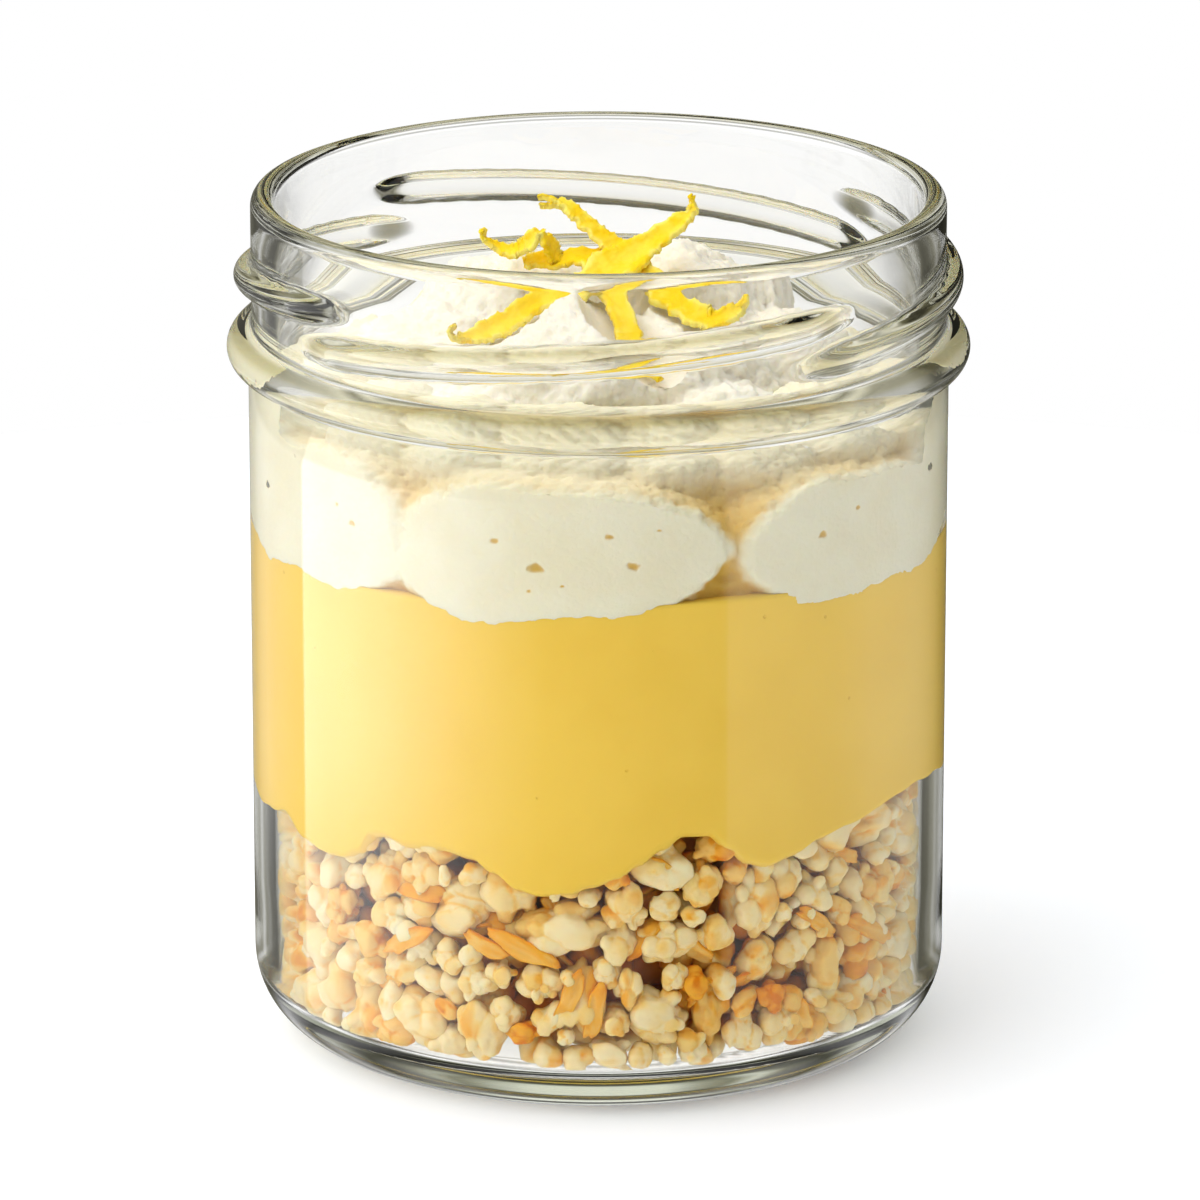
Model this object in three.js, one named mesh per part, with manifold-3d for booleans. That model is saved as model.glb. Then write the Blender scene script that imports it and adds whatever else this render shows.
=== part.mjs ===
// A lemon dessert in its jar: a straight-sided clear glass jar with a screw finish, filled from the
// bottom up with a crunch of puffed grains, lemon curd, spooned dollops of whipped cream, and strips
// of lemon zest laid across the top.
// Millimetres, +Z up, the origin in the middle of the jar's base. Azimuths are in degrees round the
// jar: 0 is the front (-Y) and 90 is the right (+X).
import * as THREE from "three";
import { mergeVertices } from "three/addons/utils/BufferGeometryUtils.js";
import Module from "manifold-3d";

const wasm = await Module();
wasm.setup();

// The jar
const JAR_HEIGHT = 97.1;
const BODY_RADIUS = 39.4;
const FINISH_RADIUS = 39.0;
const INNER_RADIUS = 37.0;
const BORE_RADIUS = 36.2;
const BORE_SLOPE = [74.5, 78];
const BEARING_RADII = [28, 31];
const PUSH_UP = 1.4;
const HEEL_HEIGHT = 9;
const FLOOR_HEIGHT = 5;
const FLOOR_CROWN = 0.5;
const INNER_HEEL = 2.5;
const RIM_ROUNDING = 1.5;
const BEAD = { height: 79.6, reach: 2.65, half: 2.4, root: 39.2 };
const SEGMENTS = 40;
const WELD = 1e-3;

// The four starts of the screw finish
const LUG = {
  count: 4, first: -55, span: 98, lowEnd: 84.9, highEnd: 89.9, root: 39.25, reach: 1.7, half: 1.6,
};

// The contents
const GAP = 0.3;
const FILL_RADIUS = INNER_RADIUS - GAP;
const EDGE_ZONE = [0.7 * FILL_RADIUS, 0.85 * FILL_RADIUS, 1.02 * FILL_RADIUS];
const CRUNCH_LEVEL = 30.5;
const CURD_EDGE = 33;
const RUN_SEGMENTS = 50;
const CURD_TOP = 58.8;
const CREAM_REACH = 100;

// Where the curd has run down between the grains and the glass: azimuth, half width, depth
const CURD_RUNS = [
  [-80, 15, 5.6], [-52, 13, 7.0], [-28, 13, 2.8], [-8, 24, 7.0], [31, 17, 4.6], [62, 24, 1.8],
  [95, 18, 4.2], [125, 19, 6.2], [156, 17, 3.4], [188, 20, 6.6], [222, 18, 3.8], [252, 17, 5.4],
];

// Dollops pressed against the glass, two lobes each: azimuth of the middle, angle between the
// lobes, and the height that each lobe reaches on the glass
const RING_DOLLOPS = [
  { azimuth: -6, spread: 25, tops: [73.8, 72.0] },
  { azimuth: 53, spread: 25, tops: [71.8, 70.4] },
  { azimuth: 106, spread: 24, tops: [72.6, 71.0] },
  { azimuth: 157, spread: 23, tops: [73.2, 71.6] },
  { azimuth: 206, spread: 22, tops: [71.2, 72.8] },
  { azimuth: 253, spread: 22, tops: [72.4, 71.0] },
  { azimuth: 301, spread: 24, tops: [71.4, 72.6] },
];
const LOBE = { radius: 28.8, depth: 12, across: 11.8, level: 65.4 };

// Dollops heaped in the middle: place of the top, and half widths
const CROWN_DOLLOPS = [
  { top: [-2.5, -11.5, 87.0], half: [11, 10, 9.5] },
  { top: [9.5, -8, 84.8], half: [10, 10, 8.5] },
  { top: [9.5, 9.5, 87.9], half: [12, 11, 9] },
  { top: [-9.5, 8.5, 87.1], half: [12, 11, 9] },
  { top: [-20, 0, 83.4], half: [10.5, 12, 9] },
  { top: [20.5, 2, 83.0], half: [10.5, 12, 9] },
  { top: [-15, -16.5, 79.6], half: [11, 9.5, 9] },
  { top: [15, -17, 79.2], half: [11, 9.5, 9] },
  { top: [1, 20, 80.6], half: [14, 8.5, 9] },
];
const MOUND = { radius: 27, shoulder: 67, top: 83, sides: 12, foot: CURD_TOP - 4 };
const SWELL = 0.035;

// Strips of zest, each a flat ribbon along hand-laid points with its broad face to FACE
const FACE = new THREE.Vector3(0, -0.55, 0.83).normalize();
const STRIP_THICKNESS = 0.9;
const TIP_SHARE = 0.45;
const ZEST_STRIPS = [
  {
    width: 2.8,
    steps: 12,
    points: [
      [10.3, 4, 95.4], [10.6, 3, 93.6], [8.2, 1, 91.9], [5.0, -1.4, 90.2], [1.8, -3, 88.9],
      [-3.4, -4.8, 87.0], [-8.8, -7.2, 85.2], [-13.4, -10, 83.2], [-16.6, -11, 82.9],
    ],
  },
  {
    width: 2.5,
    steps: 12,
    points: [
      [-6.6, 3, 95.4], [-3.8, 2.2, 94.4], [-1, 1.2, 92], [2.4, -0.4, 88.9], [5.8, -3.4, 86.3],
      [9.1, -7, 85.2], [11.9, -9, 84.7], [14.1, -9.4, 85.4], [16.1, -9, 87.2],
    ],
  },
  {
    width: 2.6,
    steps: 11,
    points: [
      [-6, 3.4, 90.8], [-4.3, 1.4, 88.8], [-0.6, 0, 86.8], [2.4, -4, 85.2], [4.2, -10.6, 83.0],
      [6.3, -15, 80.4], [9.6, -18.6, 78.6],
    ],
  },
  {
    width: 2.2,
    steps: 9,
    points: [
      [-12.8, 2, 92.2], [-11.6, 2, 90.6], [-9.6, 1.7, 89.9], [-7.6, 0.9, 90.6], [-5.9, -0.4, 92.6],
    ],
  },
];

const GLASS = { color: 0xe4e9e0, roughness: 0.04, transparent: true, opacity: 0.35 };
const CRUNCH = { color: 0xe8cfa6, roughness: 0.8 };
const CURD = { color: 0xf6da80, roughness: 0.3 };
const CREAM = { color: 0xf8f3e2, roughness: 0.55 };
const ZEST = { color: 0xf7d331, roughness: 0.5 };

const group = new THREE.Group();

const radians = THREE.MathUtils.degToRad;
const mix = THREE.MathUtils.lerp;
const smooth = THREE.MathUtils.smoothstep;

// Points of an elliptic arc in the (radius, height) plane
function arc(centre, radii, from, to, steps) {
  return Array.from({ length: steps + 1 }, (_, i) => {
    const angle = radians(mix(from, to, i / steps));
    return new THREE.Vector2(
      centre[0] + radii[0] * Math.cos(angle),
      centre[1] + radii[1] * Math.sin(angle),
    );
  });
}

// A profile turned round the Z axis
function turned(profile, segments = SEGMENTS) {
  return new THREE.LatheGeometry(profile, segments).rotateX(Math.PI / 2);
}

// Moves each vertex of a geometry by a function that changes the vector it is given
function bent(geometry, move) {
  const position = geometry.attributes.position;
  const vertex = new THREE.Vector3();
  for (let i = 0; i < position.count; i += 1) {
    vertex.fromBufferAttribute(position, i);
    move(vertex);
    position.setXYZ(i, vertex.x, vertex.y, vertex.z);
  }
  return geometry;
}

// A point on the jar's round, from its radius, its azimuth in radians and its height
function around(radius, azimuth, height) {
  return [radius * Math.sin(azimuth), -radius * Math.cos(azimuth), height];
}

// A closed geometry as a solid for joins and cuts
function solid(geometry) {
  const bare = new THREE.BufferGeometry();
  bare.setAttribute("position", geometry.attributes.position);
  bare.setIndex(geometry.index);
  const merged = mergeVertices(bare, WELD);
  return new wasm.Manifold(
    new wasm.Mesh({
      numProp: 3,
      vertProperties: merged.attributes.position.array,
      triVerts: new Uint32Array(merged.index.array),
    }),
  );
}

// The largest body of a cut solid, without the crumbs that a cut may leave
function largest(shape) {
  return shape.decompose().reduce((best, body) => (body.volume() > best.volume() ? body : best));
}

// Adds a solid to the model as a named mesh
function add(name, shape, material) {
  const { vertProperties, triVerts } = shape.getMesh();
  const geometry = new THREE.BufferGeometry();
  geometry.setAttribute("position", new THREE.BufferAttribute(vertProperties, 3));
  geometry.setIndex(new THREE.BufferAttribute(triVerts, 1));
  geometry.computeVertexNormals();
  const mesh = new THREE.Mesh(geometry, new THREE.MeshStandardMaterial(material));
  mesh.name = name;
  group.add(mesh);
}

// The rounded inner heel, from the wall down to the floor, with the contents' gap left in front of it
function innerHeel(gap) {
  const centre = [INNER_RADIUS - INNER_HEEL, FLOOR_HEIGHT + INNER_HEEL];
  return arc(centre, [INNER_HEEL - gap, INNER_HEEL - gap], 0, -90, 2);
}

// The jar's wall as one closed profile: base, heel, body, bead, neck, rim and inside
function jarBody() {
  const [ringInner, ringOuter] = BEARING_RADII;
  const rimMiddle = (FINISH_RADIUS + BORE_RADIUS) / 2;
  const rimHalf = (FINISH_RADIUS - BORE_RADIUS) / 2;
  const rimStart = JAR_HEIGHT - RIM_ROUNDING;
  return turned([
    new THREE.Vector2(0, PUSH_UP),
    ...arc([0, 0], [ringInner, PUSH_UP], 60, 0, 1),
    ...arc([ringOuter, HEEL_HEIGHT], [BODY_RADIUS - ringOuter, HEEL_HEIGHT], -90, 0, 5),
    ...arc([BEAD.root, BEAD.height], [BEAD.reach, BEAD.half], -84, 94, 5),
    ...arc([rimMiddle, rimStart], [rimHalf, RIM_ROUNDING], 0, 180, 4),
    new THREE.Vector2(BORE_RADIUS, BORE_SLOPE[1]),
    new THREE.Vector2(INNER_RADIUS, BORE_SLOPE[0]),
    ...innerHeel(0),
    new THREE.Vector2(0, FLOOR_HEIGHT + FLOOR_CROWN),
  ]);
}

// One start of the screw: a round-ended bar wrapped round the neck and rising to the right
function lug(index) {
  const length = radians(LUG.span) * LUG.root;
  const rise = (LUG.highEnd - LUG.lowEnd) / length;
  const middle = radians(LUG.first + LUG.span / 2 + (index * 360) / LUG.count);
  const bar = new THREE.CapsuleGeometry(1, length - 2 * LUG.half, 2, 6, 7);
  return bent(bar, (v) => {
    const overEnd = Math.max(Math.abs(v.y) - (length / 2 - LUG.half), 0) * Math.sign(v.y);
    const along = v.y + overEnd * (LUG.half - 1);
    const height = (LUG.lowEnd + LUG.highEnd) / 2 + rise * along + LUG.half * v.z;
    v.set(...around(LUG.root + LUG.reach * v.x, middle + along / LUG.root, height));
  });
}

function jar() {
  let shape = solid(jarBody());
  for (let i = 0; i < LUG.count; i += 1) {
    shape = shape.add(solid(lug(i)));
  }
  return shape;
}

// Underside of the curd: nearly level inside, hanging in rounded runs down the glass
function curdUnderside(radius, azimuth) {
  const inside = CRUNCH_LEVEL + 0.7 * Math.sin(2 * azimuth + 0.6) * (radius / FILL_RADIUS);
  const deepest = CURD_RUNS.reduce((most, [middle, halfWidth, depth]) => {
    const turn = azimuth * THREE.MathUtils.RAD2DEG - middle;
    const away = THREE.MathUtils.euclideanModulo(turn + 180, 360) - 180;
    const share = Math.min(Math.abs(away) / halfWidth, 1);
    return Math.max(most, depth * Math.cos((share * Math.PI) / 2) ** 2);
  }, 0);
  return mix(inside, CURD_EDGE - deepest, smooth(radius, EDGE_ZONE[0], FILL_RADIUS));
}

// Top of the curd: level in the middle, wavy at the glass where the cream presses into it
function curdTop(radius, azimuth) {
  const wave = 0.8 * Math.sin(3 * azimuth + 0.9) + 0.5 * Math.sin(8 * azimuth + 2.1);
  return CURD_TOP + wave * smooth(radius, EDGE_ZONE[0], FILL_RADIUS);
}

// All the room inside the jar, short of the glass by the gap
function filling() {
  return turned([
    new THREE.Vector2(0, FLOOR_HEIGHT + FLOOR_CROWN + GAP),
    ...innerHeel(GAP).reverse(),
    new THREE.Vector2(FILL_RADIUS, BORE_SLOPE[0]),
    new THREE.Vector2(BORE_RADIUS - GAP, BORE_SLOPE[1]),
    new THREE.Vector2(BORE_RADIUS - GAP, CREAM_REACH),
    new THREE.Vector2(0, CREAM_REACH),
  ]);
}

// Everything under a surface, out past the filling's side
function under(surfaceAt, offset, segments) {
  const rings = [
    new THREE.Vector2(0, 0),
    new THREE.Vector2(EDGE_ZONE.at(-1), 0),
    ...EDGE_ZONE.toReversed().map((radius) => new THREE.Vector2(radius, 1)),
    new THREE.Vector2(0, 1),
  ];
  return solid(
    bent(turned(rings, segments), (v) => {
      const azimuth = Math.atan2(v.x, -v.y);
      v.z *= surfaceAt(Math.hypot(v.x, v.y), azimuth) + offset;
    }),
  );
}

// A soft lump: an ellipsoid with a few shallow swellings, its own for each seed
function lump(centre, radii, turn, seed, grow) {
  const shape = bent(new THREE.SphereGeometry(1, 9, 6), (v) => {
    const waves = [3.1 * v.x + seed, 2.7 * v.y + 2 * seed, 3.7 * v.z + 3 * seed];
    v.multiplyScalar(1 + SWELL * waves.reduce((sum, wave) => sum + Math.sin(wave), 0));
  });
  shape.scale(radii[0] + grow, radii[1] + grow, radii[2] + grow);
  shape.rotateZ(turn);
  shape.translate(...centre);
  return solid(shape);
}

function ringDollop({ azimuth, spread, tops }, index, grow) {
  const onGlass = Math.sqrt(1 - ((FILL_RADIUS - LOBE.radius) / LOBE.depth) ** 2);
  const lobes = tops.map((top, side) => {
    const turn = radians(azimuth + (side - 0.5) * spread);
    const up = (top - LOBE.level) / onGlass;
    return lump(
      around(LOBE.radius, turn, LOBE.level), [LOBE.across, LOBE.depth, up], turn, index + 5 * side, grow,
    );
  });
  return lobes[0].add(lobes[1]);
}

function mound() {
  const core = turned(
    [
      new THREE.Vector2(0, MOUND.foot),
      new THREE.Vector2(MOUND.radius, MOUND.foot),
      ...arc([0, MOUND.shoulder], [MOUND.radius, MOUND.top - MOUND.shoulder], 0, 90, 2),
    ],
    MOUND.sides,
  );
  return CROWN_DOLLOPS.reduce((heap, { top, half }, index) => {
    const centre = [top[0], top[1], top[2] - half[2]];
    return heap.add(lump(centre, half, 0, 20 + 3 * index, 0));
  }, solid(core));
}

// A ribbon of zest: a long thin box bent along its curve and narrowed to both tips
function zestStrip({ width, steps, points }, grow) {
  const curve = new THREE.CatmullRomCurve3(points.map((point) => new THREE.Vector3(...point)));
  const ribbon = new THREE.BoxGeometry(1, 1, 1, steps, 1, 1);
  const side = new THREE.Vector3();
  const normal = new THREE.Vector3();
  return solid(
    bent(ribbon, (v) => {
      const t = v.x + 0.5;
      const tangent = curve.getTangentAt(t);
      side.crossVectors(FACE, tangent).normalize();
      normal.crossVectors(tangent, side);
      const taper = mix(TIP_SHARE, 1, Math.sqrt(Math.sin(Math.PI * t)));
      const across = v.y * (width * taper + 2 * grow);
      const through = v.z * (STRIP_THICKNESS + 2 * grow);
      const pastTip = grow * Math.trunc(2 * v.x);
      v.copy(curve.getPointAt(t)).addScaledVector(side, across).addScaledVector(normal, through);
      v.addScaledVector(tangent, pastTip);
    }),
  );
}

const inside = solid(filling());
const crunch = inside.intersect(under(curdUnderside, -GAP / 2, RUN_SEGMENTS));
const curd = inside
  .intersect(under(curdTop, -GAP / 2, SEGMENTS))
  .subtract(under(curdUnderside, GAP / 2, RUN_SEGMENTS));
const room = inside.subtract(under(curdTop, GAP / 2, SEGMENTS));

add("glass_jar", jar(), GLASS);
add("puffed_grain_crunch", crunch, CRUNCH);
add("lemon_curd", curd, CURD);

// Each dollop is cut round the strips of zest and round the dollops spooned in before it
const cutters = ZEST_STRIPS.map((strip) => zestStrip(strip, GAP));
const cutOut = (shape) => largest(cutters.reduce((rest, cutter) => rest.subtract(cutter), shape));
RING_DOLLOPS.forEach((dollop, index) => {
  add(`cream_dollop_${index + 1}`, cutOut(ringDollop(dollop, index, 0).intersect(room)), CREAM);
  cutters.push(ringDollop(dollop, index, GAP));
});
add("cream_mound", cutOut(mound().intersect(room)), CREAM);

ZEST_STRIPS.forEach((strip, index) => {
  add(`zest_strip_${index + 1}`, zestStrip(strip, 0), ZEST);
});

export default group;
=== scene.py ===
import math
import random

import bmesh
import bpy
from mathutils import Euler, Matrix, Vector, kdtree, noise


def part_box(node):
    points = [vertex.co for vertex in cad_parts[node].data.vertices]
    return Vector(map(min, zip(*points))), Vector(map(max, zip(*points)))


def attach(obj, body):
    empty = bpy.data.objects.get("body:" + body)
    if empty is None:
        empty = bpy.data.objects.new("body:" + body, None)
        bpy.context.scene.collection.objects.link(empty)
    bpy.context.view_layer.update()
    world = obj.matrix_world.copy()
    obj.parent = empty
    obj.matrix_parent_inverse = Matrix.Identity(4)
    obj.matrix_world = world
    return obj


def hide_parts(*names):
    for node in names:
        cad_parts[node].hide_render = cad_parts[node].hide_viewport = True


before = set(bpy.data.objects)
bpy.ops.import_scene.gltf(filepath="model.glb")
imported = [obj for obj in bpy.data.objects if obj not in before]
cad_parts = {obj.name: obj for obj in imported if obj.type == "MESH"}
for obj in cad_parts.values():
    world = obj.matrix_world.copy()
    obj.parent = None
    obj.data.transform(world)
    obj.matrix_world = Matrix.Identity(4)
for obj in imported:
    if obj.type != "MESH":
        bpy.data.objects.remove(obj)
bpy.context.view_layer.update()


# The viewpoint and the studio
# A long lens looks slightly down on the jar, which stands on a seamless white table. A soft lamp
# hangs over it and a weaker one lights it from the left; white panels show in the glass.
# The camera is tilted down, and it aims at this height on the jar's axis from this far away.
CAMERA_TILT, CAMERA_AIM, CAMERA_DISTANCE = math.radians(16.72), 0.04917, 0.9661
LENS, SENSOR, FRAME_SHIFT = 255.3, 36.0, 0.0012

camera_data = bpy.data.cameras.new("camera")
camera_data.lens = LENS
camera_data.sensor_width = SENSOR
camera_data.shift_x = FRAME_SHIFT
camera_data.clip_end = 20
camera = bpy.data.objects.new("camera", camera_data)
camera.location = (
    0,
    -CAMERA_DISTANCE * math.cos(CAMERA_TILT),
    CAMERA_AIM + CAMERA_DISTANCE * math.sin(CAMERA_TILT),
)
camera.rotation_euler = (math.pi / 2 - CAMERA_TILT, 0, 0)
scene = bpy.context.scene
scene.collection.objects.link(camera)
scene.camera = camera
scene.view_settings.view_transform = "Standard"
scene.cycles.max_bounces = 12
scene.cycles.diffuse_bounces = 3
scene.cycles.glossy_bounces = 5
scene.cycles.transmission_bounces = 11
scene.cycles.transparent_max_bounces = 16
scene.cycles.caustics_reflective = False
scene.cycles.use_denoising = True
scene.cycles.adaptive_threshold = 0.08
scene.cycles.use_light_tree = False


class Wire:
    """One output in a node tree. Arithmetic on wires adds Math nodes, and node() adds any other."""

    def __init__(self, tree, socket=None):
        self.tree = tree
        self.socket = socket

    def node(self, kind, settings=None, inputs=None, output=0):
        made = self.tree.nodes.new("ShaderNode" + kind)
        for name, value in (settings or {}).items():
            if name == "stops":
                ramp = made.color_ramp
                while len(ramp.elements) < len(value):
                    ramp.elements.new(0.5)
                for element, (place, colour) in zip(ramp.elements, value):
                    element.position = place
                    element.color = (*colour, 1)
            else:
                setattr(made, name, value)
        for name, value in (inputs or {}).items():
            if isinstance(value, Wire):
                self.tree.links.new(value.socket, made.inputs[name])
            else:
                made.inputs[name].default_value = value
        return Wire(self.tree, made.outputs[output] if made.outputs else None)

    def maths(self, kind, first, second):
        return self.node("Math", {"operation": kind}, {0: first, 1: second})

    def __add__(self, other):
        return self.maths("ADD", self, other)

    def __radd__(self, other):
        return self.maths("ADD", other, self)

    def __sub__(self, other):
        return self.maths("SUBTRACT", self, other)

    def __rsub__(self, other):
        return self.maths("SUBTRACT", other, self)

    def __mul__(self, other):
        return self.maths("MULTIPLY", self, other)

    def __rmul__(self, other):
        return self.maths("MULTIPLY", other, self)

    def __pow__(self, other):
        return self.maths("POWER", self, other)

    def noise(self, where, scale, detail):
        return self.node("TexNoise", inputs={"Vector": where, "Scale": scale, "Detail": detail})

    def kept(self, layer):
        """What a layer of the mesh holds at each point."""
        return self.node("Attribute", {"attribute_name": layer}, output="Fac")

    def one(self, name, kind="SeparateXYZ"):
        """One of the three numbers in this wire's vector or colour."""
        return self.node(kind, inputs={0: self}, output=name)

    def ramp(self, stops):
        """The colour that the stops (place, colour) give for this wire."""
        return self.node("ValToRGB", {"stops": stops}, {"Fac": self}, "Color")

    def bumped(self, strength, depth):
        return self.node("Bump", inputs={"Height": self, "Strength": strength, "Distance": depth})

    def ranged(self, low, high, to_low=0.0, to_high=1.0):
        return self.node(
            "MapRange",
            {"interpolation_type": "SMOOTHSTEP"},
            {"Value": self, "From Min": low, "From Max": high, "To Min": to_low, "To Max": to_high},
        )

    def blend(self, first, second):
        """Colours first and second mixed by this wire, which goes from 0 to 1."""
        made = self.tree.nodes.new("ShaderNodeMix")
        made.data_type = "RGBA"
        for index, value in ((0, self), (6, first), (7, second)):
            if isinstance(value, Wire):
                self.tree.links.new(value.socket, made.inputs[index])
            else:
                made.inputs[index].default_value = (*value, 1)
        return Wire(self.tree, made.outputs[2])


def new_material(name):
    """An empty material, and the wire that its nodes start from."""
    material = bpy.data.materials.new(name)
    material.use_nodes = True
    material.node_tree.nodes.clear()
    return material, Wire(material.node_tree)


def round_the_jar(turn, levels):
    """The brightness that the levels give at a share of a turn."""
    stops = [(azimuth / 360 + 0.5, (level / BRIGHTEST,) * 3) for azimuth, level in levels]
    return turn.ramp(stops).one("Red", "SeparateColor") * BRIGHTEST


def world_light():
    """The studio as directions round the jar: white behind it, soft fill on what is matt, and
    panels, ceiling and table that show in the glass alone, the table with painted shade near the jar."""
    world = bpy.data.worlds.new("studio")
    world.use_nodes = True
    world.node_tree.nodes.clear()
    start = Wire(world.node_tree)
    direction = start.node("TexCoord", output="Generated")
    x = direction.one("X")
    up = direction.one("Z")
    turn = x.maths("ARCTAN2", x, 0 - direction.one("Y")) * (0.5 / math.pi) + 0.5
    lid = up.ranged(*CEILING_EDGE)
    foot = up.ranged(*TABLE_EDGE, 1.0, 0.0)
    seen = start.node("LightPath", output="Is Camera Ray")
    sharp = start.node("LightPath", output="Is Glossy Ray")
    through = start.node("LightPath", output="Is Transmission Ray")
    shiny = sharp.maths("MAXIMUM", sharp, through)
    stops = [(steepness, (level,) * 3) for steepness, level in TABLE_LEVELS]
    on_glass = round_the_jar(turn, ON_GLASS) * up.ranged(*PANEL_FOOT, PANEL_FADED, 1.0)
    on_glass = on_glass * up.ranged(*PANEL_HEAD, 1.0, PANEL_FADED)
    panels = through * round_the_jar(turn, BEHIND_GLASS) + (1 - through) * on_glass
    painted_shade_under_jar = (0 - up).ramp(stops).one("Red", "SeparateColor") * TABLE_GLOW
    mirrored = panels * (1 - lid) * (1 - foot) + lid * CEILING_GLOW + foot * painted_shade_under_jar
    fill = up.ranged(-0.02, 0.02, TABLE_FILL, SKY_FILL)
    level = seen + (1 - seen) * (shiny * mirrored + (1 - shiny) * fill)
    colour = level.maths("MAXIMUM", level, 1 - shiny).ranged(0.0, 0.7).blend(DARK_TINGE, (1, 1, 1))
    shine = start.node("Background", inputs={"Color": colour, "Strength": level})
    start.node("OutputWorld", inputs={"Surface": shine})
    world.cycles.sampling_method = "NONE"
    scene.world = world


def keep_off_glass(thing):
    """Leaves a thing out of what the glass mirrors and out of what shows through it."""
    thing.visible_glossy = False
    thing.visible_transmission = False


def as_object(name, made):
    """A finished mesh as an object in the scene."""
    data = bpy.data.meshes.new(name)
    made.to_mesh(data)
    made.free()
    body = bpy.data.objects.new(name, data)
    scene.collection.objects.link(body)
    return body


def soft_lamp(name, azimuth, height, distance, size, level):
    """A soft lamp aimed at the jar, which a matt white sheet facing it there would show at level."""
    data = bpy.data.lights.new(name, "AREA")
    data.size = size
    data.energy = level * (math.pi * distance) ** 2
    lamp = bpy.data.objects.new(name, data)
    turn, tilt = math.radians(azimuth), math.radians(height)
    out = Vector((math.cos(tilt) * math.sin(turn), -math.cos(tilt) * math.cos(turn), math.sin(tilt)))
    lamp.location = Vector((0, 0, CAMERA_AIM)) + out * distance
    lamp.rotation_euler = out.to_track_quat("Z", "Y").to_euler()
    lamp.visible_camera = False
    keep_off_glass(lamp)
    scene.collection.objects.link(lamp)


# Brightness of the studio by azimuth, mirrored on the glass and seen through it. Mirrored, a bright
# panel stands at the left and fades forwards, and a dimmer one at the right, with a dark front.
# Seen through the glass, white backdrops stand behind and in front, each between two dark wings.
ON_GLASS = [
    (-180, 0.4), (-158, 0.4), (-143, 0.9), (-128, 1.0), (-115, 1.0), (-114, 4.2), (-91, 5.2),
    (-74, 4.8), (-58, 3.4), (-43, 1.8), (-30, 0.8), (-18, 0.25), (0, 0.08), (20, 0.02), (42, 0.02),
    (43, 0.9), (84, 0.95), (102, 1.2), (127, 0.7), (145, 0.3), (156, 0.1), (180, 0.1),
]
BEHIND_GLASS = [
    (-180, 1.0), (-172, 1.0), (-168, 0.5), (-163, 0.25), (-159, 0.85), (-155, 0.15), (-148, 0.04),
    (-143, 0.04), (-136, 0.5), (-114, 0.9), (-58, 0.8), (-30, 0.4), (-19, 0.12), (-12, 0.7),
    (12, 0.7), (19, 0.08), (42, 0.08), (43, 0.6), (127, 0.55), (136, 0.3), (143, 0.05), (149, 0.06),
    (154, 0.2), (158, 0.5), (162, 0.25), (167, 0.65), (172, 1.0), (180, 1.0),
]
# Brightness of the table that the glass shows, by how steeply down one looks: bands of painted
# shade stand for the part near the jar that lies in its shade.
TABLE_LEVELS = [
    (0.4, 0.8), (0.5, 0.9), (0.58, 0.35), (0.66, 1.0), (0.76, 0.25), (0.86, 1.0), (0.94, 0.35), (1.0, 0.7),
]
BRIGHTEST = 6.0
# Slopes, up or down, between which the panels give way to the ceiling and to the table, and those
# between which they fade at their lower and upper edges where they are mirrored on the glass.
CEILING_EDGE, TABLE_EDGE = (0.4, 0.65), (-0.5, -0.4)
PANEL_FOOT, PANEL_HEAD, PANEL_FADED = (-0.325, -0.3), (-0.266, -0.25), 0.5
# The tinge of the studio's dark corners in the glass, the brightness of ceiling and table there,
# and the fill from above and from below on what is matt.
DARK_TINGE = (1.0, 0.96, 0.7)
CEILING_GLOW, TABLE_GLOW, SKY_FILL, TABLE_FILL = 0.12, 1.3, 0.29, 1.1
world_light()

OVERHEAD_LEVEL, OVERHEAD_WIDTH, OVERHEAD_LEAN = 0.74, math.radians(75), math.radians(-8)
overhead_data = bpy.data.lights.new("overhead", "SUN")
overhead_data.energy = OVERHEAD_LEVEL * math.pi
overhead_data.angle = OVERHEAD_WIDTH
overhead_data.color = (1.0, 0.985, 0.94)
overhead = bpy.data.objects.new("overhead", overhead_data)
overhead.rotation_euler = (OVERHEAD_LEAN, OVERHEAD_LEAN, 0)
overhead.visible_camera = False
keep_off_glass(overhead)
scene.collection.objects.link(overhead)
soft_lamp("key", azimuth=-58, height=40, distance=0.9, size=0.9, level=0.54)

TABLE_RADIUS = 0.26
table_mesh = bmesh.new()
bmesh.ops.create_circle(table_mesh, cap_ends=True, segments=96, radius=TABLE_RADIUS)
table = as_object("table", table_mesh)
table_material, start = new_material("white_table")
paint = start.node(
    "BsdfPrincipled",
    inputs={
        "Base Color": (0.93, 0.96, 1.0, 1), "Roughness": 0.7,
        "Emission Color": (0.62, 0.72, 1.0, 1), "Emission Strength": 0.16,
    },
)
start.node("OutputMaterial", inputs={"Surface": paint})
table_material.cycles.emission_sampling = "NONE"
table.data.materials.append(table_material)
keep_off_glass(table)


# The jar
# A straight-sided jar pressed in one piece of clear glass, with a faint olive tint where it is
# thick: base with a bearing ring, rounded heel, plain wall, bead, four thread starts, round rim.
JAR_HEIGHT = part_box("glass_jar")[1].z
MM = 0.001
BODY_RADIUS = 39.4 * MM
FINISH_RADIUS = 39.0 * MM
INNER_RADIUS = 37.0 * MM
BORE_RADIUS = 36.2 * MM
BORE_SLOPE = (74.5 * MM, 78.0 * MM)
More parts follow.
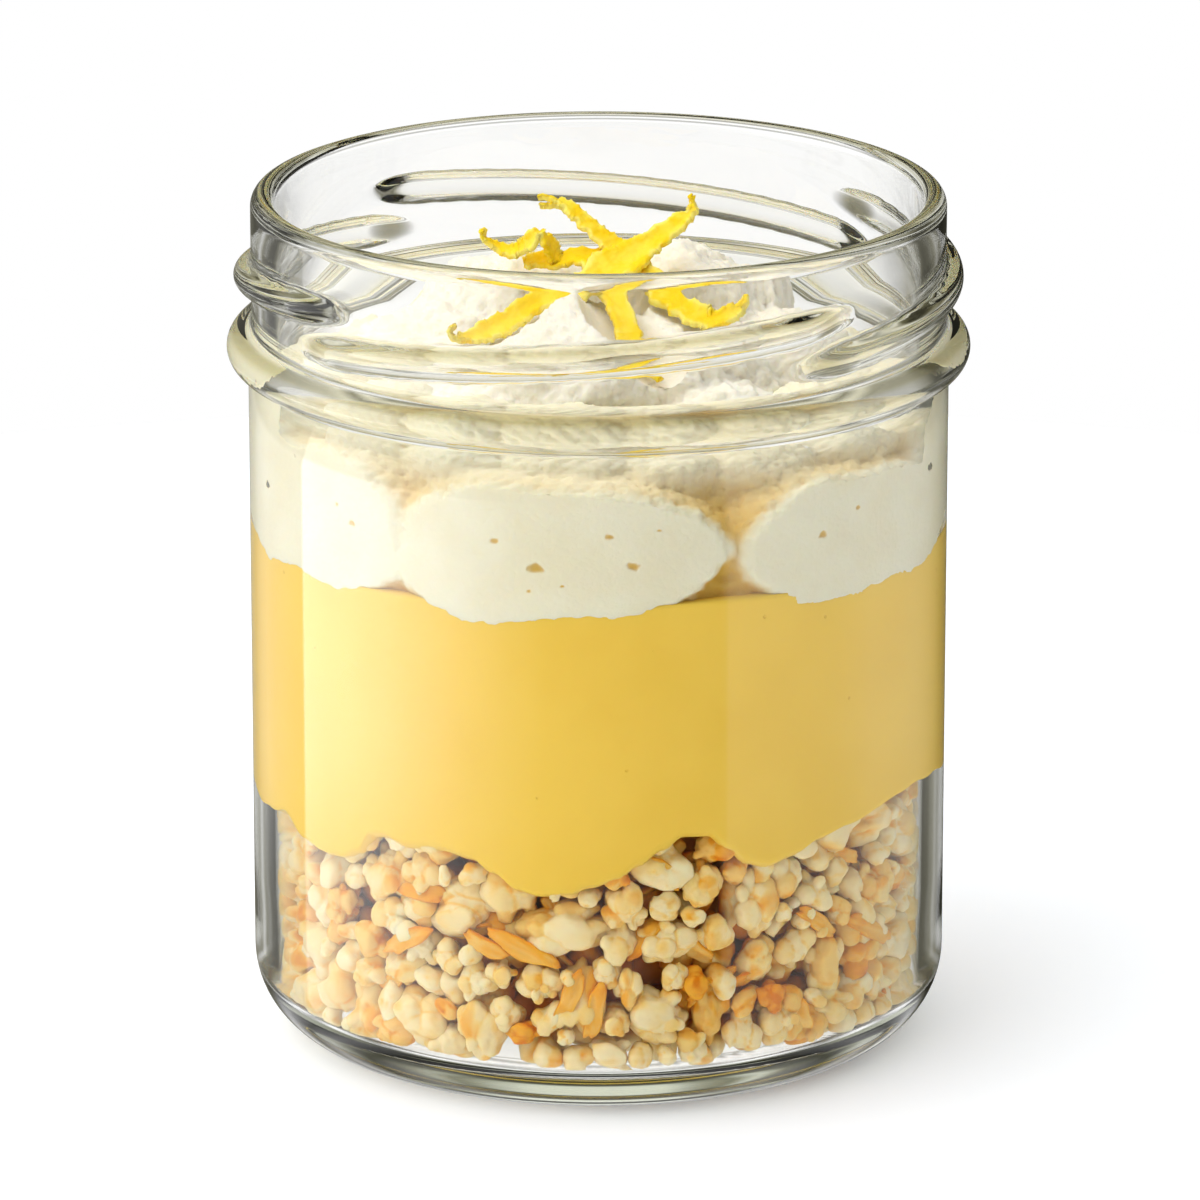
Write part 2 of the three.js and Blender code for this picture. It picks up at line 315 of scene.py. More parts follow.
# The flat bearing ring between the push-up and the rounded heel, and the knurl pressed into it.
RING_INNER, RING_OUTER = 28 * MM, 31 * MM
KNURL_OUTER, KNURL_DEPTH = 32.5 * MM, 0.15 * MM
PUSH_UP = 1.4 * MM
HEEL_HEIGHT = 9 * MM
FLOOR_HEIGHT, FLOOR_CROWN, INNER_HEEL = 5 * MM, 0.5 * MM, 2.5 * MM
CORNER_RADIUS, CORNER_HEIGHT = INNER_RADIUS - INNER_HEEL, FLOOR_HEIGHT + INNER_HEEL
LOWEST_WALL = 12 * MM
RIM_ROUNDING = 1.5 * MM
BEAD_HEIGHT, BEAD_REACH, BEAD_HALF, BEAD_ROOT = 79.6 * MM, 2.6 * MM, 2.3 * MM, 39.2 * MM
NECK_ROWS = 46
# The thread: where its first start begins and how far each runs, in degrees, its heights at its two
# ends, how far it stands out, half its width, and how far it fades from an end.
LUG_FIRST, LUG_SPAN, LUG_COUNT = -55, 98, 4
LUG_LOW, LUG_HIGH = 84.9 * MM, 89.9 * MM
LUG_REACH, LUG_HALF, LUG_FADE = 1.95 * MM, 1.85 * MM, 8.5 * MM
JAR_STEPS = 384
# How deep the olive tint is at the steepest of the bead and the thread, and the painted dark line on
# the rim's top for the dark surroundings it shows; their colours from none to full. The glass itself
# tints a long way through it a little more.
BEAD_TINT, LUG_TINT, RIM_PAINTED_LINE = 0.75, 0.5, 0.65
GLASS_TINT_AND_LINE_COLOURS = [(0.0, (1, 1, 1)), (0.6, (0.52, 0.48, 0.28)), (1.0, (0.27, 0.24, 0.15))]
GLASS_BODY, GLASS_DENSITY = (0.82, 0.84, 0.74, 1), 32.0
# Light and lamps pass straight through the wall instead of being bent by it.
CLEAR_GLASS = (0.97, 0.975, 0.965, 1)


def smooth_step(low, high, value):
    """Goes smoothly from 0 at low to 1 at high."""
    share = min(max((value - low) / (high - low), 0), 1)
    return share * share * (3 - 2 * share)


def arc(centre, radii, start_angle, end_angle, steps):
    """Points (radius, height) of an elliptic arc, its angles in degrees."""
    points = []
    for i in range(steps + 1):
        angle = math.radians(start_angle + (end_angle - start_angle) * i / steps)
        points.append((centre[0] + radii[0] * math.cos(angle), centre[1] + radii[1] * math.sin(angle)))
    return points


def turned(profile, steps):
    """A profile of (radius, height) points, wound once round the jar's axis as a closed skin."""
    made = bmesh.new()
    rows = len(profile) - 1
    bmesh.ops.create_grid(made, x_segments=steps, y_segments=rows, size=0.5)
    for vert in made.verts:
        radius, height = profile[round((vert.co.y + 0.5) * rows)]
        angle = 2 * math.pi * (vert.co.x + 0.5)
        vert.co = (radius * math.sin(angle), -radius * math.cos(angle), height)
    bmesh.ops.remove_doubles(made, verts=made.verts, dist=1e-7)
    bmesh.ops.recalc_face_normals(made, faces=made.faces)
    return made


def radius_of(point):
    """Distance from the jar's axis."""
    return math.hypot(point.x, point.y)


def spread(point, share):
    """Moves a point away from the jar's axis, or towards it for a share under 1."""
    point.x *= share
    point.y *= share


def azimuth_of(point):
    """Degrees round the jar, 0 at the front and 90 at the right."""
    return math.degrees(math.atan2(point.x, -point.y))


def place(name, made, material):
    """A finished mesh as a piece of its own, smooth and riding on the part's one body."""
    body = as_object(name, made)
    body.data.shade_smooth()
    body.data.materials.append(material)
    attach(body, "root")
    return body


def lug_relief(azimuth, height):
    """How far the thread stands out of the neck at a place on it: ridges that fade at their ends."""
    relief = 0.0
    for i in range(LUG_COUNT):
        # Degrees past this start's beginning, or up to 40 before it.
        along = (azimuth - LUG_FIRST - i * 360 / LUG_COUNT + 40) % 360 - 40
        share = min(max(along / LUG_SPAN, 0), 1)
        to_end = math.radians(min(along, LUG_SPAN - along)) * FINISH_RADIUS + LUG_HALF
        fade = smooth_step(0, LUG_FADE, to_end)
        rise = height - (LUG_LOW + (LUG_HIGH - LUG_LOW) * share)
        away = abs(rise) / (LUG_HALF * (0.35 + 0.65 * fade ** 0.5))
        if fade > 0 and away < 1:
            relief = max(relief, LUG_REACH * fade * (1 - away ** 2.2) ** 0.8)
    return relief


def wall_inside(height):
    """Radius of the inside of the wall, which draws in to a narrower bore in the neck."""
    return INNER_RADIUS + (BORE_RADIUS - INNER_RADIUS) * smooth_step(*BORE_SLOPE, height)


def flank(share):
    """How steep a ridge is where it stands out by this share of its height: most on its sides."""
    return min((4 * share * (1 - share)) ** 2 + 0.2 * share, 1)


def jar_mesh():
    """The jar, turned from one closed profile, with the thread pushed out of its neck."""
    rim_middle, rim_half = (FINISH_RADIUS + BORE_RADIUS) / 2, (FINISH_RADIUS - BORE_RADIUS) / 2
    neck_low, neck_high = BEAD_HEIGHT + BEAD_HALF + 0.6 * MM, JAR_HEIGHT - RIM_ROUNDING
    slope_low, slope_high = BORE_SLOPE
    profile = [(0, PUSH_UP)]
    profile += arc((0, 0), (RING_INNER, PUSH_UP), 80, 0, 10)
    profile += arc((RING_OUTER, HEEL_HEIGHT), (BODY_RADIUS - RING_OUTER, HEEL_HEIGHT), -90, 0, 20)
    wall_top = BEAD_HEIGHT - BEAD_HALF - 0.5 * MM
    profile += [(BODY_RADIUS, HEEL_HEIGHT + (wall_top - HEEL_HEIGHT) * i / 12) for i in range(1, 13)]
    profile += arc((BEAD_ROOT, BEAD_HEIGHT), (BEAD_REACH, BEAD_HALF), -80, 82, 18)
    neck = neck_high - neck_low
    profile += [(FINISH_RADIUS, neck_low + neck * i / NECK_ROWS) for i in range(NECK_ROWS)]
    profile += arc((rim_middle, neck_high), (rim_half, RIM_ROUNDING), 0, 180, 14)
    profile += [(BORE_RADIUS, neck_high + (slope_high - neck_high) * i / 5) for i in range(1, 5)]
    for i in range(9):
        height = slope_high - (slope_high - slope_low) * i / 8
        profile.append((wall_inside(height), height))
    profile += [(INNER_RADIUS, slope_low - (slope_low - LOWEST_WALL) * i / 9) for i in range(1, 9)]
    profile += arc((CORNER_RADIUS, CORNER_HEIGHT), (INNER_HEEL, INNER_HEEL), 0, -90, 14)
    profile += [(CORNER_RADIUS * (1 - i / 6), FLOOR_HEIGHT + FLOOR_CROWN * i / 6) for i in range(1, 6)]
    profile += [(0, FLOOR_HEIGHT + FLOOR_CROWN)]
    made = turned(profile, JAR_STEPS)
    # The layer holds the olive tint of thick glass and a painted dark line along the rim's top.
    thick = made.verts.layers.float.new("thick")
    for vert in made.verts:
        radius = radius_of(vert.co)
        in_bead = flank(max(radius - BODY_RADIUS, 0) / (BEAD_ROOT + BEAD_REACH - BODY_RADIUS))
        # Painted dark line along the top of the rim.
        painted_rim_line = smooth_step(JAR_HEIGHT - 0.32 * MM, JAR_HEIGHT - 0.06 * MM, vert.co.z)
        vert[thick] = max(BEAD_TINT * in_bead, RIM_PAINTED_LINE * painted_rim_line)
        if abs(radius - FINISH_RADIUS) < 0.01 * MM and vert.co.z > neck_low - MM:
            relief = lug_relief(azimuth_of(vert.co), vert.co.z)
            spread(vert.co, 1 + relief / radius)
            vert[thick] = max(vert[thick], LUG_TINT * flank(relief / LUG_REACH))
        column = round(azimuth_of(vert.co) / 360 * JAR_STEPS)
        if RING_INNER < radius < KNURL_OUTER and vert.co.z < MM and column % 2:
            vert.co.z += KNURL_DEPTH
    return made


def glass_material():
    material, start = new_material("jar_glass")
    glass = start.node(
        "BsdfPrincipled",
        inputs={
            "Base Color": start.kept("thick").ramp(GLASS_TINT_AND_LINE_COLOURS),
            "Roughness": 0.0, "IOR": 1.5, "Transmission Weight": 1.0,
        },
    )
    clear = start.node("BsdfTransparent", inputs={"Color": CLEAR_GLASS})
    lamp = start.node("LightPath", output="Is Shadow Ray")
    for_lamps = start.node("MixShader", inputs={0: lamp, 1: glass, 2: clear})
    soft = start.node("LightPath", output="Is Diffuse Ray")
    surface = start.node("MixShader", inputs={0: soft, 1: for_lamps, 2: clear})
    tint = start.node("VolumeAbsorption", inputs={"Color": GLASS_BODY, "Density": GLASS_DENSITY})
    start.node("OutputMaterial", inputs={"Surface": surface, "Volume": tint})
    return material


jar = place("jar", jar_mesh(), glass_material())
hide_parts("glass_jar")


# The puffed grain crunch
# Loose popped and puffed grains from rice size to nuggets of 9 mm, baked ivory with toasted
# spots, with thin toasted flakes between them. They lie on the jar's floor and lean on its wall.
GRAIN_SEED = 23
# How near grains come to the wall and how high up, how softly they are flattened there, and how
# deep in the heap the painted shade that darkens them begins and is darkest.
GRAIN_WALL = INNER_RADIUS - 0.2 * MM
GRAIN_TOP = 33.5 * MM
SOFTNESS = 0.5 * MM
SHADE_DEPTHS = (2.0 * MM, 5.0 * MM)
PACKING_ROUNDS = 70
# Where grains are first scattered: shares of the round's area, its radius, and heights in mm.
SCATTER_AREA, SCATTER_RADIUS, SCATTER_HEIGHTS = (0.62, 1.0), 36 * MM, (6, 34)
# The grains that lie anywhere: how many of each kind, the smallest and the largest radius in mm,
# knobs on each, and how finely it is made deep in the heap and close to the glass.
BANDS = [
    ("nuggets", 104, 2.7, 3.7, 11, (3, 4)),
    ("puffs", 220, 2.1, 2.8, 4, (2, 4)),
    ("small_puffs", 170, 1.6, 2.1, 1, (2, 3)),
    ("bits", 90, 1.1, 1.6, 0, (2, 3)),
]
LOBES = {"nuggets": (6, 9), "puffs": (3, 6), "small_puffs": (2, 4), "bits": (1, 3)}
# Lobes and knobs of a grain: how far out they sit and how large they are, as shares of its size,
# and how sharply they meet, for they flow together more at a lower power.
CENTRE_SIZE, LOBE, KNOB = 0.58, ((0.42, 0.6), (0.36, 0.5)), ((0.66, 0.8), (0.17, 0.25))
ROUNDING = 14
# A grain that reaches out past this is seen through the glass.
AT_GLASS = 35.6 * MM
LOOSE_FLAKES, FLAKE_SIZES = 64, ((1.8, 3.2), (0.8, 1.2), (0.4, 0.55))
# Grains are made this much larger than the room that they are packed in, so that they close up.
# Those that have their place named lie this close to the wall for their size.
LOOSE_SWELL, NAMED_SWELL, NAMED_ROOM = 1.24, 1.12, 0.86
# From pale through golden to toasted brown. The painted shade deep in the heap and in creases
# takes the same colours.
BAKED_AND_SHADED_COLOURS = [
    (0.0, (0.99, 0.82, 0.51)), (0.3, (0.98, 0.66, 0.22)),
    (0.6, (0.95, 0.44, 0.035)), (1.0, (0.78, 0.23, 0.003)),
]
# The largest grains against the wall: azimuth and height, half width and half height, toasting.
WALL_NUGGETS = [
    (-6.4, 21.8, 4.9, 3.3, 0.05), (-25.2, 23.2, 4.4, 3.4, 0.05), (28.3, 23.4, 3.1, 3.9, 0.1),
    (12.1, 20.4, 3.0, 2.7, 0.1), (11.2, 11.6, 3.5, 3.6, 0.05), (44.9, 14.5, 2.6, 3.9, 0.1),
    (-41.4, 25.4, 3.2, 3.9, 0.1), (-33.4, 9.7, 3.3, 3.2, 0.1), (-21.7, 8.5, 2.7, 3.9, 0.1),
    (-10.2, 15.3, 2.4, 2.6, 0.1), (35.6, 9.5, 3.1, 3.2, 0.15), (-68.5, 11.7, 2.7, 2.9, 0.2),
    (58.5, 21.8, 2.6, 2.9, 0.25), (4.7, 24.5, 2.4, 3.0, 0.15), (-52.6, 20.3, 1.9, 2.4, 0.35),
    (18.4, 26.6, 2.3, 2.6, 0.2),
]
WALL_PUFFS = [
    (20.8, 20.6, 2.4, 2.7, 0.1), (-44.3, 17.5, 2.1, 2.7, 0.35), (-16.1, 11.6, 2.1, 2.2, 0.1),
    (1.2, 16.9, 1.9, 2.0, 0.1), (5.4, 15.2, 1.6, 2.6, 0.1), (13.7, 16.0, 1.6, 1.9, 0.1),
    (47.3, 20.1, 1.8, 2.0, 0.1), (58.8, 10.4, 2.1, 2.7, 0.1), (26.5, 8.6, 2.2, 2.6, 0.1),
    (-27.8, 17.3, 2.0, 2.2, 0.1), (-21.9, 14.9, 2.1, 2.4, 0.0), (-17.2, 16.4, 1.6, 1.8, 0.1),
    (17.3, 15.3, 2.0, 1.9, 0.6), (32.2, 12.4, 1.7, 2.1, 0.75), (-13.8, 9.6, 2.6, 1.7, 0.6),
]
# Flakes against the wall: azimuth and height of both ends, and the width.
WALL_FLAKES = [
    (-23.8, 20.8, -15.8, 18.5, 1.5), (-19.2, 21.4, -7.5, 18.2, 1.7), (-2.9, 17.3, -7.1, 11.0, 1.6),
    (0.3, 16.0, -1.6, 9.5, 1.6), (37.4, 22.0, 44.9, 18.3, 1.4), (48.8, 19.3, 62.0, 14.6, 1.6),
    (-39.9, 17.1, -30.7, 20.5, 1.7), (8.6, 30.0, 14.6, 27.4, 1.8),
]


def on_wall(azimuth, height, radius):
    """The point at an azimuth in degrees, a height and a radius."""
    angle = math.radians(azimuth)
    return Vector((radius * math.sin(angle), -radius * math.cos(angle), height))


def floor_under(radius):
    """Height of the jar's floor, which is crowned a little in the middle."""
    return FLOOR_HEIGHT + FLOOR_CROWN * max(1 - radius / CORNER_RADIUS, 0)


def eased(value, limit):
    """The value, bent so that it stays under the limit."""
    over = value - (limit - SOFTNESS)
    return value if over < 0 else limit - SOFTNESS * math.exp(-over / SOFTNESS)


def keep_inside(point, size):
    """Moves a grain's centre so that a grain of this size lies inside the jar."""
    radius = radius_of(point)
    reach = GRAIN_WALL - size
    if point.z < CORNER_HEIGHT and radius > CORNER_RADIUS:
        out, down = radius - CORNER_RADIUS, CORNER_HEIGHT - point.z
        away, most = math.hypot(out, down), max(INNER_HEEL - size, 0)
        if away > most:
            point.z = CORNER_HEIGHT - down * most / away
            reach = min(reach, CORNER_RADIUS + out * most / away)
    if radius > reach:
        spread(point, reach / radius)
    point.z = max(point.z, floor_under(radius) + size)


def packed(places, sizes, fixed):
    """Shoves overlapping grains apart, a little at a time, with a steady push outwards and down."""
    largest = max(sizes)
    for turn in range(PACKING_ROUNDS):
        tree = kdtree.KDTree(len(places))
        for i, point in enumerate(places):
            tree.insert(point, i)
        tree.balance()
        pull = 0.2 * MM * (1 - turn / PACKING_ROUNDS)
        for i in range(fixed, len(places)):
            point, size = places[i], sizes[i]
            move = Vector((point.x, point.y, 0)).normalized() * pull - Vector((0, 0, pull * 0.7))
            for other, j, away in tree.find_range(point, size + largest):
                deep = (size + sizes[j]) * 0.9 - away
                if j != i and deep > 0 and away > 0:
                    share = 0.9 if j < fixed else 0.45
                    move += (point - other) * (share * deep / away)
            point += move
            keep_inside(point, size)
            point.z = min(point.z, GRAIN_TOP)


def pour(made, target):
    """Adds a finished mesh to the mesh of a whole piece."""
    data = bpy.data.meshes.new("poured")
    made.to_mesh(data)
    made.free()
    target.from_mesh(data)
    bpy.data.meshes.remove(data)


class Heap:
    """One joined mesh of loose grains, with the toasting of each point kept on it, painted shade
    deep in the heap added to that, and painted shade in its creases.
    """

    def __init__(self):
        self.mesh = bmesh.new()
        # The toast layer keeps the toasting together with painted shade deep in the heap, and the crease
        # shade layer keeps painted shade in creases.
        self.toast = self.mesh.verts.layers.float.new("toast")
        self.crease = self.mesh.verts.layers.float.new("crease")

    def ball(self, fineness):
        """A new round grain to be shaped, in a mesh of its own, and its points."""
        self.grain = bmesh.new()
        self.toast = self.grain.verts.layers.float.new("toast")
        self.crease = self.grain.verts.layers.float.new("crease")
        return bmesh.ops.create_icosphere(self.grain, subdivisions=fineness, radius=1)["verts"]

    def settle(self, vert, point, toast, crease):
        """Puts a point of a grain in its place, off the glass. Deep in the heap it gets painted shade."""
        radius = radius_of(point)
        inside = eased(radius, GRAIN_WALL)
        low = floor_under(inside) + 0.15 * MM
        out, down = inside - CORNER_RADIUS, CORNER_HEIGHT - point.z
        most = INNER_HEEL - 0.2 * MM
        if out > 0 and down > 0 and math.hypot(out, down) > most:
            share = most / math.hypot(out, down)
            inside = CORNER_RADIUS + out * share
            point.z = CORNER_HEIGHT - down * share
        else:
            point.z = -eased(-point.z, -low)
        spread(point, inside / radius)
        vert.co = point
        # Painted shade: darker the further behind the glass, but light near the floor.
        depth = min(GRAIN_WALL - inside, point.z - FLOOR_HEIGHT)
        vert[self.toast] = min(max(toast, smooth_step(*SHADE_DEPTHS, depth)), 1)
        vert[self.crease] = crease

    def popped(self, place, radii, turn, toast, lobes, knobs, fineness):
        """A popped grain: smooth lobes of several sizes swollen out of one middle."""
        swellings = [(Vector((0, 0, 0)), CENTRE_SIZE, 0.0)]
        for i in range(lobes + knobs):
            way = Vector([chance.gauss(0, 1) for _ in range(3)]).normalized()
            golden = chance.choice((0.0, 0.0, 0.0, 0.0, 0.12, 0.25))
            outs, spans = LOBE if i < lobes else KNOB
            swellings.append((way * chance.uniform(*outs), chance.uniform(*spans), golden))
        shift = Vector([chance.random() for _ in range(3)]) * 40
        for vert in self.ball(fineness):
            way = vert.co.normalized()
            best = second = total = tint = 0.0
            for middle, size, golden in swellings:
                along = middle.dot(way)
                under_root = size * size - middle.length_squared + along * along
                if under_root > 0:
                    reach = along + math.sqrt(under_root)
                    if reach > best:
                        best, second = reach, best
                    elif reach > second:
                        second = reach
                    if reach > 0:
                        weight = reach ** ROUNDING
                        total += weight
                        tint += weight * golden
            reach = total ** (1 / ROUNDING)
            # Painted shade where lobes meet and in the hollows between them.
            crease = smooth_step(0.86, 1.0, second / best) * smooth_step(0.95, 0.6, best)
            reach += noise.noise(way * 2.4 + shift) * 0.09 + noise.noise(way * 6 + shift) * 0.03
            reach += noise.noise(way * 13 + shift) * 0.012
            point = way * reach * Vector(radii)
            patch = smooth_step(0.1, 0.5, noise.noise(way * 1.3 + shift * 1.7))
            baked = toast + tint / total + (0.22 + toast * 0.3) * patch
            self.settle(vert, place + turn @ point, baked, crease)
        pour(self.grain, self.mesh)

    def flake(self, place, radii, turn, toast, bend):
        """A thin curled flake with blunt ends, a torn outline and a crumpled face."""
        shift = Vector([chance.random() for _ in range(3)]) * 40
        for vert in self.ball(4):
            way = vert.co.normalized()
            flat = math.hypot(way.x, way.y)
            blunt = (abs(way.x) ** 3 + abs(way.y) ** 3 + 1e-9) ** (-1 / 3) * flat
            torn = noise.noise(Vector((way.x, way.y, 0)) * 1.6 + shift) * 0.3
            torn += noise.noise(Vector((way.x, way.y, 0)) * 4.5 + shift) * 0.06
            outline = blunt * (1 + torn * flat)
            across, along = way.y * outline, way.x * outline
            crumple = noise.noise(Vector((along * 1.6, across * 0.9, 0)) + shift) * 0.5
            thick = math.copysign(abs(way.z) ** 0.7, way.z) * (1 + 0.3 * noise.noise(way * 1.5 + shift))
            lift = bend * radii[0] * (along * along - 0.4) + 0.3 * radii[1] * across * across
            point = Vector((along * radii[0], across * radii[1], (thick + crumple) * radii[2] + lift))
            edge = smooth_step(0.8, 1.0, flat)
            baked = toast + 0.16 * noise.noise(way * 1.8 + shift) + 0.12 * edge
            # The flake's rim is darkened through the crease shade layer too.
            self.settle(vert, place + turn @ point, min(max(baked, 0), 1), 0.3 * edge)
        pour(self.grain, self.mesh)


def random_turn():
    """Turns a grain any way round."""
    return Euler([chance.uniform(0, 2 * math.pi) for _ in range(3)]).to_matrix()


def facing(azimuth, tilt=0.0):
    """Turns local x along the wall, y up and z outwards, then tilts the grain in the wall's face."""
    angle = math.radians(azimuth)
    along = Vector((math.cos(angle), math.sin(angle), 0))
    out = Vector((math.sin(angle), -math.cos(angle), 0))
    turn = Matrix((along, Vector((0, 0, 1)), out)).transposed()
    return turn @ Matrix.Rotation(tilt, 3, "Z")


def finish_food(start, colour, bump, skin):
    """Gives a food its colour, its fine relief and a skin with some light under it."""
    surface = start.node("BsdfPrincipled", inputs={"Base Color": colour, "Normal": bump, **skin})
    start.node("OutputMaterial", inputs={"Surface": surface})


def crunch_material(name, lighter):
    material, start = new_material(name)
    where = start.node("TexCoord", output="Object")
    mottle = start.noise(where, 420.0, 3.0)
    fine = start.noise(where, 1600.0, 2.0)
    specks = mottle.ranged(0.5, 0.78) * 0.16 + fine.ranged(0.6, 0.75) * mottle * 0.14
    # Painted shade is in both layers: deep in the heap in the toast layer, in creases in the other.
    baked = start.kept("toast") + start.kept("crease") * 0.3 + specks
    colour = baked.ramp(BAKED_AND_SHADED_COLOURS)
    skin = {
        "Roughness": 0.38, "IOR": 1.42, "Specular IOR Level": 0.35,
        "Subsurface Weight": lighter, "Subsurface Radius": (1.0, 0.65, 0.3), "Subsurface Scale": 0.9 * MM,
    }
    finish_food(start, colour, (mottle * 0.7 + fine * 0.3).bumped(0.25, 0.4 * MM), skin)
    return material


chance = random.Random(GRAIN_SEED)
places, sizes = [], []
for azimuth, height, half_width, half_height, toast in WALL_NUGGETS + WALL_PUFFS:
    size = (half_width + half_height) / 2 * MM
    room = size * NAMED_ROOM
    point = on_wall(azimuth, height * MM, GRAIN_WALL - room)
    keep_inside(point, room)
    point.z = max(point.z, FLOOR_HEIGHT + FLOOR_CROWN + half_height * MM)
    places.append(point)
    sizes.append(size)
named_count = len(places)
for _, count, smallest, largest, _, _ in BANDS:
    for _ in range(count):
        radius = math.sqrt(chance.uniform(*SCATTER_AREA)) * SCATTER_RADIUS
        sizes.append(chance.uniform(smallest, largest) * MM)
        places.append(on_wall(chance.uniform(0, 360), chance.uniform(*SCATTER_HEIGHTS) * MM, radius))
packed(places, sizes, named_count)

heaps = {name: Heap() for name in ("nuggets", "puffs", "small_puffs", "bits", "flakes")}
for i, (azimuth, height, half_width, half_height, toast) in enumerate(WALL_NUGGETS + WALL_PUFFS):
    radii = (half_width * NAMED_SWELL * MM, half_height * NAMED_SWELL * MM, sizes[i])
    if i < len(WALL_NUGGETS):
        heaps["nuggets"].popped(places[i], radii, facing(azimuth), toast, lobes=9, knobs=20, fineness=5)
    else:
        heaps["puffs"].popped(places[i], radii, facing(azimuth), toast, lobes=5, knobs=2, fineness=4)
i = named_count
for name, count, _, _, knobs, fineness in BANDS:
    most_toast = 0.1 if name == "nuggets" else 0.4
    for _ in range(count):
        size = sizes[i] * LOOSE_SWELL
        near = radius_of(places[i]) + sizes[i] > AT_GLASS
        long = chance.choice((1.0, 1.15, 1.35))
        radii = (size * long, size / math.sqrt(long), size / math.sqrt(long))
        toast = chance.choice((0.0, 0.0, 0.0, 0.04, 0.04, 0.08, 0.08, 0.12, 0.2, most_toast))
        lobes = {kind: chance.randint(*most) for kind, most in LOBES.items()}[name]
        heaps[name].popped(places[i], radii, random_turn(), toast, lobes, knobs, fineness[near])
        i += 1
for first, first_height, last, last_height, width in WALL_FLAKES:
    run = on_wall(last, last_height * MM, GRAIN_WALL - 0.9 * MM)
    run -= on_wall(first, first_height * MM, GRAIN_WALL - 0.9 * MM)
    azimuth = (first + last) / 2
    middle = on_wall(azimuth, (first_height + last_height) / 2 * MM, GRAIN_WALL - 1.0 * MM)
    tilt = math.atan2(run.z, run.dot(facing(azimuth) @ Vector((1, 0, 0))))
    radii = (run.length / 2, width / 1.6 * MM, 0.6 * MM)
    heaps["flakes"].flake(middle, radii, facing(azimuth, tilt), toast=0.55, bend=-0.08)
for _ in range(LOOSE_FLAKES):
    azimuth, height = chance.uniform(0, 360), chance.uniform(7, 29) * MM
    point = on_wall(azimuth, height, chance.uniform(32, 35.4) * MM)
    keep_inside(point, 1.2 * MM)
    radii = [chance.uniform(*span) * MM for span in FLAKE_SIZES]
    turn = facing(azimuth_of(point), chance.uniform(0, math.pi))
    turn = turn @ Matrix.Rotation(chance.uniform(-0.9, 0.9), 3, "X")
    heaps["flakes"].flake(point, radii, turn, chance.uniform(0.4, 0.7), chance.uniform(-0.15, 0.15))

for name, heap in heaps.items():
    crunch_piece = place("crunch_" + name, heap.mesh, crunch_material("baked_" + name, 0.35))
    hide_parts("puffed_grain_crunch")

# The unseen middle of the heap is one lumpy lump, coloured with painted shade: light at the floor,
# darker above it and lighter on the tops of its lumps.
CORE_RADIUS, CORE_FOOT, CORE_TOP = 28.0 * MM, FLOOR_HEIGHT + 1.2 * MM, 31.0 * MM
core_profile = [(CORE_RADIUS * i / 14, CORE_FOOT) for i in range(14)]
core_profile += [(CORE_RADIUS, CORE_FOOT + (CORE_TOP - CORE_FOOT) * i / 40) for i in range(41)]
core_profile += [(CORE_RADIUS * i / 14, CORE_TOP) for i in range(13, -1, -1)]
core_mesh = turned(core_profile, 240)
core_shade_layer = core_mesh.verts.layers.float.new("toast")
crease_layer = core_mesh.verts.layers.float.new("crease")
core_mesh.normal_update()
for vert in core_mesh.verts:
    lump = 1 - min(noise.voronoi(vert.co * 230)[0][0] * 1.5, 1)
    vert[core_shade_layer] = smooth_step(FLOOR_HEIGHT, FLOOR_HEIGHT + SHADE_DEPTHS[1], vert.co.z) - 0.2 * lump
    vert[crease_layer] = 0.0
    vert.co += vert.normal * (lump * 1.6 * MM - 0.6 * MM)
core = place("crunch_core", core_mesh, crunch_material("baked_core", 0.1))
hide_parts("puffed_grain_crunch")


# The lemon curd
# A thick smooth curd poured over the grains. It wets the glass all round, and where it has run
# down between the grains and the wall it hangs in rounded lobes; its face shows a few bubbles.
# Food that wets the glass reaches just into the wall, so that no film of air shows between them.
WET_RADIUS = INNER_RADIUS + 0.06 * MM
CURD_LEVEL, CURD_TOP, CURD_LIP = 30.5 * MM, 59.4 * MM, 0.9 * MM
# The lower edge on the glass: azimuth and height of each hanging lobe and each notch between.
CURD_HEM = [
    (-87, 28.0), (-78, 27.0), (-72, 27.5), (-66, 28.3), (-59, 26.5), (-54, 25.9), (-49, 26.2),
    (-45, 27.4), (-41.5, 30.0), (-39, 30.3), (-35, 29.8), (-27.5, 30.1), (-22, 29.5), (-18.5, 28.0),
    (-14, 26.2), (-9.8, 25.7), (-5, 26.0), (-1.4, 26.9), (3, 27.9), (6.9, 29.5), (11, 31.3),
    (14.5, 32.7), (18.9, 32.4), (22.5, 30.2), (26, 28.5), (30, 28.0), (35.9, 28.6), (41, 29.8),
    (47.1, 30.0), (54, 31.0), (61.4, 31.3), (68, 31.6), (74.5, 31.0), (87, 29.6), (96, 28.4),
    (110, 30.5), (118, 30.0), (126, 26.4), (134, 27.2), (143, 31.6), (150, 31.2), (158, 28.8),
    (165, 29.4), (170, 31.0), (179, 28.5), (189, 26.0), (198, 27.0), (207, 31.8), (214, 31.2),
    (222, 28.4), (229, 28.8), (236, 31.2), (245, 30.4), (254, 27.2), (263, 27.4),
]
CURD_STEPS, CURD_ROWS = 480, 56
# Radii of the rings that make its underside and its top, closer together near the glass.
CURD_UNDER = [0, 10, 18, 24, 27, 29, 30.5, 31.7, 32.7, 33.6, 34.4, 35.0, 35.5, 35.85, 36.1]
CURD_OVER = [35.4, 34.2, 32, 28, 22, 14, 6, 0]


